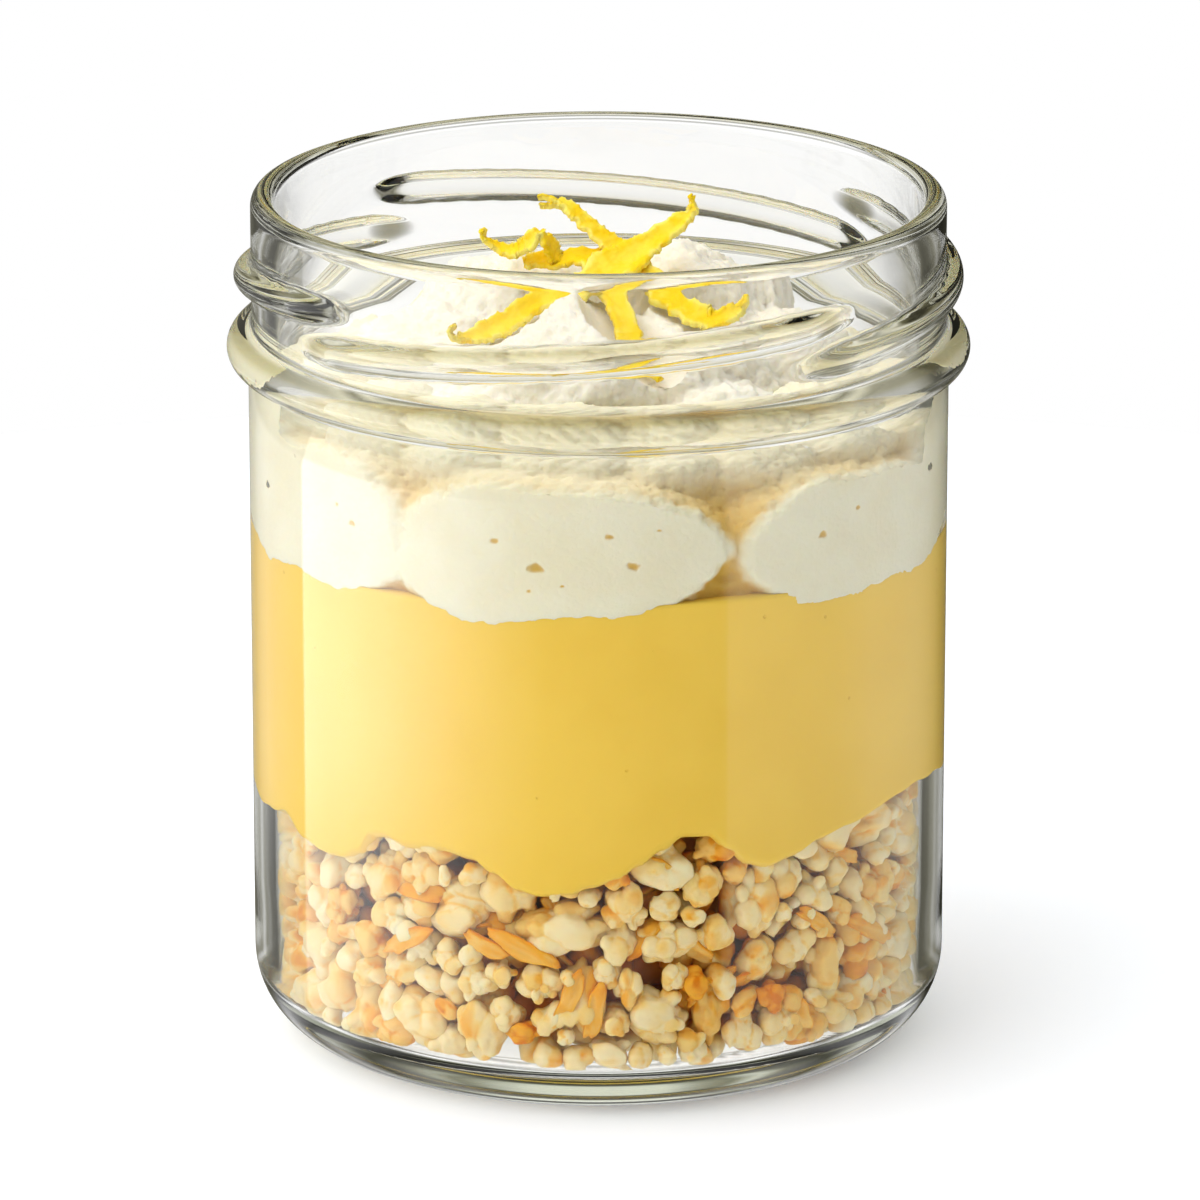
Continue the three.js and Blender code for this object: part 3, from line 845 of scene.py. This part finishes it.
def curd_edge(azimuth):
    """Height of the curd's lower edge on the glass."""
    turn = (azimuth - CURD_HEM[0][0]) % 360 + CURD_HEM[0][0]
    stops = CURD_HEM + [(CURD_HEM[0][0] + 360, CURD_HEM[0][1])]
    for (left, left_height), (right, right_height) in zip(stops, stops[1:]):
        if left <= turn <= right:
            height = left_height + (right_height - left_height) * smooth_step(left, right, turn)
    angle = math.radians(azimuth)
    ripple = 0.3 * noise.noise((9 * math.sin(angle), 9 * math.cos(angle), 3))
    return (height + ripple) * MM


def curd_top(azimuth):
    """Height of the curd's upper edge on the glass, where dollops press into it."""
    turn = math.radians(azimuth)
    return CURD_TOP + 0.35 * MM * math.sin(3 * turn + 0.9)


def curd_mesh():
    """A round slab, turned with stand-in heights: 0 for the underside, up to 1 for the face on the
    glass and 2 for the top. Each is then given its true height."""
    just_over, on_top = 0.001, 2
    profile = [(radius * MM, 0) for radius in CURD_UNDER]
    profile += [(WET_RADIUS, just_over + i / CURD_ROWS) for i in range(CURD_ROWS + 1)]
    profile += [(radius * MM, on_top) for radius in CURD_OVER]
    made = turned(profile, CURD_STEPS)
    for vert in made.verts:
        radius = radius_of(vert.co)
        azimuth = azimuth_of(vert.co)
        edge, top = curd_edge(azimuth), curd_top(azimuth)
        share = vert.co.z
        if share == 0:
            inward = max(WET_RADIUS - radius, 0)
            rise = smooth_step(0, 7 * MM, inward)
            bottom = edge + (max(CURD_LEVEL, edge) - edge) * rise
            curl = CURD_LIP * (1 - smooth_step(0, 1.1 * MM, inward))
            vert.co.z = bottom + curl * 0.6 + 0.25 * MM * noise.noise(vert.co * 180)
        elif share < on_top:
            vert.co.z = edge + CURD_LIP + (top - edge - CURD_LIP) * (share - just_over)
        else:
            vert.co.z = CURD_TOP + (top - CURD_TOP) * smooth_step(26 * MM, 36 * MM, radius)
    return made


def curd_material():
    material, start = new_material("lemon_curd")
    where = start.node("TexCoord", output="Object")
    drift = start.noise(where, 60.0, 4.0).ranged(0.35, 0.65)
    colour = drift.blend((0.92, 0.605, 0.09), (0.89, 0.575, 0.078))
    cells = start.node("TexVoronoi", inputs={"Vector": where, "Scale": 330.0})
    shades = start.node("TexVoronoi", inputs={"Vector": where, "Scale": 330.0}, output="Color")
    picked = shades.one("Red", "SeparateColor").ranged(0.8, 0.82)
    # Bubbles are dents in the relief, darkened with painted shade.
    bubble = (1 - cells.ranged(0.04, 0.085)) * picked
    colour = (bubble * 0.7).blend(colour, (0.74, 0.42, 0.05))
    relief = start.noise(where, 150.0, 3.0) * 0.12 - bubble * 0.6
    skin = {
        "Roughness": 0.45, "IOR": 1.4, "Specular IOR Level": 0.15,
        "Subsurface Weight": 0.15, "Subsurface Radius": (0.6, 0.4, 0.15), "Subsurface Scale": 4 * MM,
    }
    finish_food(start, colour, relief.bumped(0.5, 0.6 * MM), skin)
    return material


curd = place("curd_layer", curd_mesh(), curd_material())
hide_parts("lemon_curd")


# The lemon zest
# Four strips pared from a lemon's skin and dropped crossed on the cream: thin ribbons with torn
# edges and pointed tips, deep yellow and porous outside, paler where the pith shows.
ZEST_THICKNESS = 0.75 * MM
# The way in which the strips' outer sides face: up, and somewhat forwards.
ZEST_FACE = Vector((0, -0.55, 0.83))
# Each strip's strands: places (x, y, z) along them, and their widths there.
ZEST = {
    "zest_crossing": [
        [
            (10.3, 4, 95.4, 0.6), (10.5, 3.6, 94.3, 1.3), (10.3, 3, 93.3, 2.2), (8.7, 2, 92.2, 2.9),
            (6.3, 0.5, 91.0, 3.3), (4.2, -1.2, 89.7, 4.6), (1.7, -3, 88.4, 5.6), (-1.2, -4.5, 87.0, 5.0),
            (-4.3, -6, 85.9, 3.4), (-7.6, -7.5, 85.1, 2.9), (-10.1, -9, 84.2, 3.8),
            (-12.3, -10, 83.2, 3.4), (-14.5, -11, 82.9, 2.2), (-15.8, -11.5, 83.0, 1.4),
            (-16.2, -11.5, 83.9, 0.7), (-15.7, -11.3, 84.3, 0.4),
        ],
    ],
    "zest_forked": [
        [
            (-6.8, 4, 95.0, 0.5), (-5.7, 3.7, 95.0, 0.8), (-4.5, 3.4, 94.6, 1.4), (-3.2, 2.8, 94.0, 2.1),
            (-1.6, 2, 92.7, 2.5), (0.2, 1, 91.3, 2.8), (2.0, 0, 89.9, 3.2), (3.8, -1.6, 88.5, 4.2),
            (5.3, -3.6, 87.2, 4.2), (7.1, -5.5, 85.9, 3.4), (9.1, -7.4, 85.2, 3.2), (11.1, -9, 84.7, 3.8),
            (12.6, -9.8, 84.6, 3.4), (14.3, -10, 85.2, 2.6), (15.7, -9.6, 85.8, 1.9),
            (16.4, -9, 87.1, 0.8),
        ],
        [
            (-6.6, 3.9, 94.0, 0.4), (-5.5, 3.6, 94.1, 0.6), (-4.3, 3.1, 94.2, 0.9), (-3.2, 2.7, 93.6, 1.2),
        ],
    ],
    "zest_front": [
        [
            (-8.3, 2.2, 87.7, 1.8), (-6.8, 1.8, 88.1, 2.8), (-4.8, 1.2, 88.2, 2.7), (-2.6, 0.6, 88.8, 3.0),
            (-0.7, -0.4, 88.4, 3.6), (0.6, -2.6, 87.3, 4.0), (1.7, -5.5, 86.0, 3.4), (2.7, -9, 84.7, 3.0),
            (3.5, -12.5, 82.8, 3.0), (4.8, -15, 81.1, 2.2), (6.8, -17.4, 79.8, 1.1),
        ],
    ],
    "zest_hook": [
        [
            (-12.6, 2, 92.1, 0.7), (-12.9, 2, 91.0, 1.1), (-11.8, 1.9, 90.0, 1.6), (-10.2, 1.6, 89.4, 2.2),
            (-8.6, 1.2, 89.6, 2.8), (-7.3, 0.6, 90.9, 2.8), (-6.5, 0.2, 92.3, 1.4),
        ],
        [
            (-6.8, 0.2, 92.1, 1.5), (-6.0, 0.6, 90.8, 2.4), (-5.2, 1, 89.3, 2.6), (-4.3, 1, 88.3, 1.6),
        ],
    ],
}


def along_curve(points, share):
    """Place, width and direction at a share of a smooth curve through the points."""
    last = len(points) - 1
    stretch = min(share * last, last - 0.0001)
    i = int(stretch)
    t = stretch - i
    before, first, second, after = (Vector(points[min(max(j, 0), last)]) for j in range(i - 1, i + 3))
    run, bend = second - before, 2 * before - 5 * first + 4 * second - after
    twist = 3 * first - before - 3 * second + after
    spot = 0.5 * (2 * first + run * t + bend * t * t + twist * t * t * t)
    way = 0.5 * (run + 2 * bend * t + 3 * twist * t * t)
    return spot.xyz * MM, spot.w * MM, way.xyz.normalized()


def add_ribbon(strip, points, seed):
    """Adds a strand along the curve: cupped, with torn edges."""
    made = bmesh.new()
    pith = made.verts.layers.float.new("pith")
    bmesh.ops.create_grid(made, x_segments=14 * len(points), y_segments=8, size=0.5)
    for vert in made.verts:
        share, side = vert.co.x + 0.5, vert.co.y * 2
        spot, width, way = along_curve(points, share)
        face = (ZEST_FACE - way * ZEST_FACE.dot(way)).normalized()
        sideways = way.cross(face)
        run = share * len(points)
        tear = 0.24 * noise.noise((run * 2.2, side * 0.7, seed))
        tear += 0.26 * noise.noise((run * 6, side * 1.2, seed + 9))
        tear += 0.12 * noise.noise((run * 13, side * 2, seed + 2))
        sway = 0.1 * noise.noise((run * 0.7, 0, seed + 4)) * width
        cup = 0.14 * width * side * side + 0.12 * MM * noise.noise((run * 2, side * 2, seed))
        vert.co = spot + sideways * (side * width / 2 * (1 + tear) + sway) + face * cup
        vert[pith] = abs(side) ** 3
    bmesh.ops.recalc_face_normals(made, faces=made.faces)
    bmesh.ops.solidify(made, geom=made.faces[:], thickness=ZEST_THICKNESS)
    bmesh.ops.remove_doubles(made, verts=made.verts, dist=1e-6)
    bmesh.ops.recalc_face_normals(made, faces=made.faces)
    every_way = {"use_axis_x": True, "use_axis_y": True, "use_axis_z": True}
    for _ in range(2):
        bmesh.ops.smooth_vert(made, verts=made.verts, factor=0.4, **every_way)
    pour(made, strip)


def zest_material():
    material, start = new_material("lemon_zest")
    where = start.node("TexCoord", output="Object")
    pores = start.node("TexVoronoi", inputs={"Vector": where, "Scale": 1500.0})
    cloud = start.noise(where, 420.0, 3.0)
    colour = cloud.ranged(0.4, 0.65).blend((0.97, 0.66, 0.008), (0.98, 0.74, 0.05))
    pale = start.kept("pith") * cloud.ranged(0.3, 0.6)
    colour = pale.ranged(0.2, 0.9).blend(colour, (0.98, 0.80, 0.16))
    skin = {
        "Roughness": 0.35, "IOR": 1.42,
        "Subsurface Weight": 0.3, "Subsurface Radius": (1.0, 0.7, 0.1), "Subsurface Scale": 0.8 * MM,
    }
    finish_food(start, colour, (pores * 0.6 + cloud * 0.6).bumped(0.4, 0.4 * MM), skin)
    return material


for i, (name, strands) in enumerate(ZEST.items()):
    strip_mesh = bmesh.new()
    for j, points in enumerate(strands):
        add_ribbon(strip_mesh, points, i * 7.3 + j * 1.7)
    strip = place(name, strip_mesh, zest_material())
    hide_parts("zest_strip_" + str(i + 1))


# The cream
# Thick whipped cream in soft dollops. A ring of them is pressed against the glass all round, each
# with a flat smooth face on it, and more are heaped over the ring's middle, rough where they broke.
CREAM_WET = WET_RADIUS + 0.04 * MM
# How far out a dollop's middle lies, half its depth, and how square its shape is (2 is round).
DOLLOP_RADIUS, DOLLOP_DEPTH, DOLLOP_POWER = 30.3 * MM, 9.8 * MM, 2.6
# Azimuth and height of a dollop's middle, half its width and half its height on the glass, and
# how far its outline swells (over 1) or draws in (under 1) every 30 degrees round from the right.
DOLLOPS = [
    (-6.5, 65.2, 18.0, 7.8, (1.0, 0.965, 0.95, 0.93, 1.09, 1.05, 1.0, 1.14, 1.16, 0.86, 0.94, 0.94)),
    (-61, 65.5, 16.0, 7.5, (1.0, 1.08, 1.17, 0.95, 1.1, 1.1, 1.1, 1.2, 1.1, 0.9, 1.12, 1.15)),
    (54, 64.8, 17.7, 6.8, (1.15, 1.1, 0.85, 0.88, 1.08, 1.01, 1.0, 1.06, 1.2, 0.98, 1.2, 1.25)),
    (-82, 74.0, 11.0, 5.0, (0.9, 1.0, 1.1, 0.9, 1.0, 1.1, 1.0, 1.1, 1.0, 1.0, 1.0, 0.9)),
    (84, 72.0, 10.5, 5.5, (1.0, 1.1, 0.9, 1.0, 0.95, 0.9, 0.9, 1.0, 1.1, 1.0, 1.0, 1.1)),
    (109, 65.0, 16.0, 7.4, (1.0, 1.1, 0.95, 0.9, 1.1, 1.0, 1.0, 1.1, 1.1, 0.9, 1.0, 1.1)),
    (160, 65.6, 15.5, 7.6, (1.0, 1.0, 1.1, 1.0, 0.9, 1.1, 1.0, 1.0, 1.1, 1.0, 0.9, 1.1)),
    (208, 64.8, 15.0, 7.2, (1.0, 1.1, 0.9, 1.0, 1.1, 1.0, 1.0, 1.2, 1.0, 0.9, 1.1, 1.0)),
    (253, 65.2, 15.5, 7.4, (1.0, 1.0, 1.0, 0.9, 1.1, 1.1, 1.0, 1.0, 1.1, 1.1, 0.9, 1.0)),
]
# Lumps behind the flat faces and over them: place (azimuth, distance out, height) and half sizes.
SHOULDERS = [
    (-30, 27, 73.5, 8, 7, 6), (-52, 28, 74.5, 7, 7, 5.5), (-8, 26, 74.0, 9, 7, 5.5),
    (14, 27, 72.5, 8, 6, 6), (36, 27, 73.0, 8, 7, 5.5), (60, 28, 73.0, 8, 7, 6),
    (24, 29, 64.5, 5, 4, 7), (-80, 27, 75, 7, 8, 6), (85, 27, 73.5, 8, 8, 6),
    (112, 27, 73, 9, 8, 6), (140, 28, 72, 8, 7, 6), (166, 27, 74, 9, 7, 5.5),
    (192, 28, 72.5, 8, 7, 6), (218, 27, 73.5, 9, 8, 6), (246, 28, 73, 8, 7, 6),
]
# Lumps of the heap: place (x, y, z) and half sizes.
CROWN = [
    (-2.5, -11.5, 78.0, 11, 10, 9.5), (9.5, -8, 76.3, 10, 10, 8.5), (9.5, 9.5, 78.9, 12, 11, 9),
    (-9.5, 8.5, 78.1, 12, 11, 9), (-20, 0, 74.4, 10.5, 12, 9), (20.5, 2, 74.0, 10.5, 12, 9),
    (-15, -16.5, 70.6, 11, 9.5, 9), (15, -17, 70.2, 11, 9.5, 9), (1, 20, 71.6, 14, 8.5, 9),
]
# How finely the cream's skin is meshed.
CREAM_GRID = 0.45 * MM
# The heap is pressed in under the zest: how far from a strip's middle line, how gently it rises
# again beside the strip, and down to what height.
BED_WIDTH, BED_SLOPE, HEAP_FOOT = 7 * MM, 3.5 * MM, 76 * MM
# Pits in the flat faces: azimuth, height and half width. They are this deep for their half width.
PIT_DEPTH = 0.4
PITS = [
    (-17.4, 66.7, 0.42), (-10.5, 63.8, 0.75), (-6.0, 62.0, 0.2), (-11.6, 61.3, 0.24), (1.8, 67.6, 0.4),
    (5.8, 64.2, 0.6), (10.0, 68.2, 0.25), (40.3, 65.3, 0.5), (48.4, 67.4, 0.3), (-45.3, 66.0, 0.4),
    (-48.9, 67.7, 0.25), (72.5, 68.1, 0.6), (-72.1, 66.1, 0.5), (118, 66, 0.5), (104, 62, 0.3),
    (165, 64, 0.6), (151, 68, 0.35), (203, 66, 0.45), (258, 63, 0.55),
]
# The body of the ring behind its dollops, as (radius, height) in mm, and the ring's and the heap's
# two colours each, which drift into each other, and the painted warm shade in their hollows and pits.
HOOP = [(20, 56.5), (36, 56.5), (35.4, 61), (33, 66.5), (29, 72), (26, 75), (20, 75), (20, 56.5)]
# The ring's colours are darker and yellower than the heap's: painted shade on the cream's sides, and
# painted light on the heap's top.
SHADED_RING_COLOURS = ((0.865, 0.81, 0.62), (0.84, 0.77, 0.56))
LIT_HEAP_COLOURS = ((0.89, 0.85, 0.74), (0.87, 0.815, 0.68))
HOLLOW_SHADE_COLOUR = (0.73, 0.46, 0.09)


def grown(turns, angle):
    """The swelling of an outline at an angle, between the ones given every 30 degrees."""
    step = math.degrees(angle) % 360 / 30
    share = smooth_step(0, 1, step % 1)
    return turns[int(step) % 12] * (1 - share) + turns[(int(step) + 1) % 12] * share


def add_dollop(made, azimuth, height, half_width, half_height, turns):
    """A lump whose cut by the glass has the outline given."""
    cut = (1 - ((CREAM_WET - DOLLOP_RADIUS) / DOLLOP_DEPTH) ** DOLLOP_POWER) ** (1 / DOLLOP_POWER)
    ball = bmesh.ops.create_icosphere(made, subdivisions=5, radius=1)
    for vert in ball["verts"]:
        across, up, out = vert.co
        flat = math.hypot(across, up) / (grown(turns, math.atan2(up, across)) / cut)
        reach = (flat ** DOLLOP_POWER + abs(out) ** DOLLOP_POWER) ** (-1 / DOLLOP_POWER)
        turn = azimuth + math.degrees(across * reach * half_width * MM / CREAM_WET)
        rise = (height + up * reach * half_height) * MM
        vert.co = on_wall(turn, rise, DOLLOP_RADIUS + out * reach * DOLLOP_DEPTH)


def add_lump(made, middle, half_sizes, turn, waviness):
    """A rough ball of cream."""
    shift = middle * 900
    ball = bmesh.ops.create_icosphere(made, subdivisions=4, radius=1)
    for vert in ball["verts"]:
        swell = 1 + waviness * noise.noise(vert.co * 1.7 + shift)
        vert.co = middle + turn @ (vert.co * Vector(half_sizes)) * swell * MM


def remeshed(made, grid):
    """One closed skin round overlapping lumps."""
    body = as_object("lumps", made)
    lumps = body.data
    skin = body.modifiers.new("skin", "REMESH")
    skin.mode = "VOXEL"
    skin.voxel_size = grid
    shaped = bpy.data.meshes.new_from_object(body.evaluated_get(bpy.context.evaluated_depsgraph_get()))
    bpy.data.objects.remove(body)
    made = bmesh.new()
    made.from_mesh(shaped)
    bpy.data.meshes.remove(shaped)
    bpy.data.meshes.remove(lumps)
    return made


def curdle(made, coarse, fine, calm_below):
    """The broken, slightly grainy skin of whipped cream: soft lumps, with finer ones on them."""
    made.normal_update()
    moves = []
    for vert in made.verts:
        point = vert.co * 1000
        folds = noise.noise(point * 0.22) * 1.3
        lumps = abs(noise.noise(point * 0.55 + Vector((5, 3, 9)))) - 0.25
        crumbs = abs(noise.noise(point * 1.25 + Vector((1, 7, 2)))) - 0.22
        broken = fine * (0.3 + 0.7 * smooth_step(calm_below, calm_below + 7 * MM, vert.co.z))
        moves.append(vert.normal * ((folds + lumps * 2.2) * coarse - crumbs * broken))
    for vert, move in zip(made.verts, moves):
        vert.co += move


def press_on_glass(made, gap):
    """Flattens what would reach into the jar's wall by more than the gap allows."""
    for vert in made.verts:
        limit = wall_inside(vert.co.z) - gap
        if radius_of(vert.co) > limit:
            spread(vert.co, limit / radius_of(vert.co))


def cream_material(name, colours):
    material, start = new_material(name)
    where = start.node("TexCoord", output="Object")
    fresh = start.noise(where, 150.0, 3.0).ranged(0.35, 0.7).blend(*colours)
    # The deep layer brings painted warm shade into hollows and pits.
    colour = start.kept("deep").blend(fresh, HOLLOW_SHADE_COLOUR)
    skin = {
        "Roughness": 0.5, "IOR": 1.4, "Specular IOR Level": 0.3,
        "Subsurface Weight": 0.3, "Subsurface Radius": (1.0, 0.75, 0.4), "Subsurface Scale": 1.5 * MM,
    }
    finish_food(start, colour, start.noise(where, 1500.0, 4.0).bumped(0.35, 0.4 * MM), skin)
    return material


ring_mesh = bmesh.new()
for dollop in DOLLOPS:
    add_dollop(ring_mesh, *dollop)
for azimuth, out, height, across, deep, up in SHOULDERS:
    middle = on_wall(azimuth, height * MM, out * MM)
    add_lump(ring_mesh, middle, (across, up, deep), facing(azimuth), waviness=0.12)
pour(turned([(radius * MM, height * MM) for radius, height in HOOP], 96), ring_mesh)
ring_mesh = remeshed(ring_mesh, CREAM_GRID)
curdle(ring_mesh, coarse=0.26 * MM, fine=0.7 * MM, calm_below=64 * MM)
press_on_glass(ring_mesh, INNER_RADIUS - CREAM_WET)
# The deep layer holds painted warm shade: in each pit, and where the cream lies back from the glass below
# its shoulders.
hollow_shade_layer = ring_mesh.verts.layers.float.new("deep")
for azimuth, height, half_width in PITS:
    middle = on_wall(azimuth, height * MM, CREAM_WET)
    reach = half_width * MM * 1.3
    edges = set()
    for face in ring_mesh.faces:
        if (face.calc_center_median() - middle).length < reach + 0.4 * MM:
            edges.update(face.edges)
    bmesh.ops.subdivide_edges(ring_mesh, edges=list(edges), cuts=2, use_grid_fill=True)
    for vert in ring_mesh.verts:
        apart = vert.co - middle
        if apart.length < reach:
            apart.z *= 1.3 if apart.z > 0 else 2.2
            away = apart.length / reach * (1 + 0.5 * noise.noise(vert.co * 1600))
            if away < 1:
                depth = PIT_DEPTH * half_width * MM * (1 - away * away) ** 0.5
                spread(vert.co, 1 - depth / CREAM_WET)
                # Painted shade, darkest in the pit's middle.
                vert[hollow_shade_layer] = 1 - away ** 4
for vert in ring_mesh.verts:
    away = wall_inside(vert.co.z) - radius_of(vert.co)
    recess_shade = smooth_step(0.1 * MM, 1.5 * MM, away) * smooth_step(77 * MM, 66 * MM, vert.co.z)
    vert[hollow_shade_layer] = max(vert[hollow_shade_layer], recess_shade)
ring = place("cream_ring", ring_mesh, cream_material("whipped_cream_shaded", SHADED_RING_COLOURS))
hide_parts(*["cream_dollop_" + str(i) for i in range(1, 8)])

heap_mesh = bmesh.new()
for x, y, z, *half_sizes in CROWN:
    add_lump(heap_mesh, Vector((x, y, z)) * MM, half_sizes, Matrix.Identity(3), waviness=0.2)
add_lump(heap_mesh, Vector((0, 0, 68)) * MM, (25, 25, 12), Matrix.Identity(3), waviness=0.05)
heap_mesh = remeshed(heap_mesh, CREAM_GRID)
curdle(heap_mesh, coarse=0.4 * MM, fine=0.85 * MM, calm_below=60 * MM)
bed = []
for strands in ZEST.values():
    for points in strands:
        bed += [along_curve(points, i / (5 * len(points)))[:2] for i in range(5 * len(points) + 1)]
plan = kdtree.KDTree(len(bed))
for i, (spot, _) in enumerate(bed):
    plan.insert((spot.x, spot.y, 0), i)
plan.balance()
for vert in heap_mesh.verts:
    if vert.co.z > HEAP_FOOT:
        for _, i, away in plan.find_range((vert.co.x, vert.co.y, 0), BED_WIDTH):
            spot, width = bed[i]
            rise = max(away - width / 2, 0) ** 2 / BED_SLOPE
            vert.co.z = min(vert.co.z, spot.z - ZEST_THICKNESS * 0.8 + rise)
press_on_glass(heap_mesh, 0.3 * MM)
peak = place("cream_heap", heap_mesh, cream_material("heaped_cream_lit", LIT_HEAP_COLOURS))
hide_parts("cream_mound")
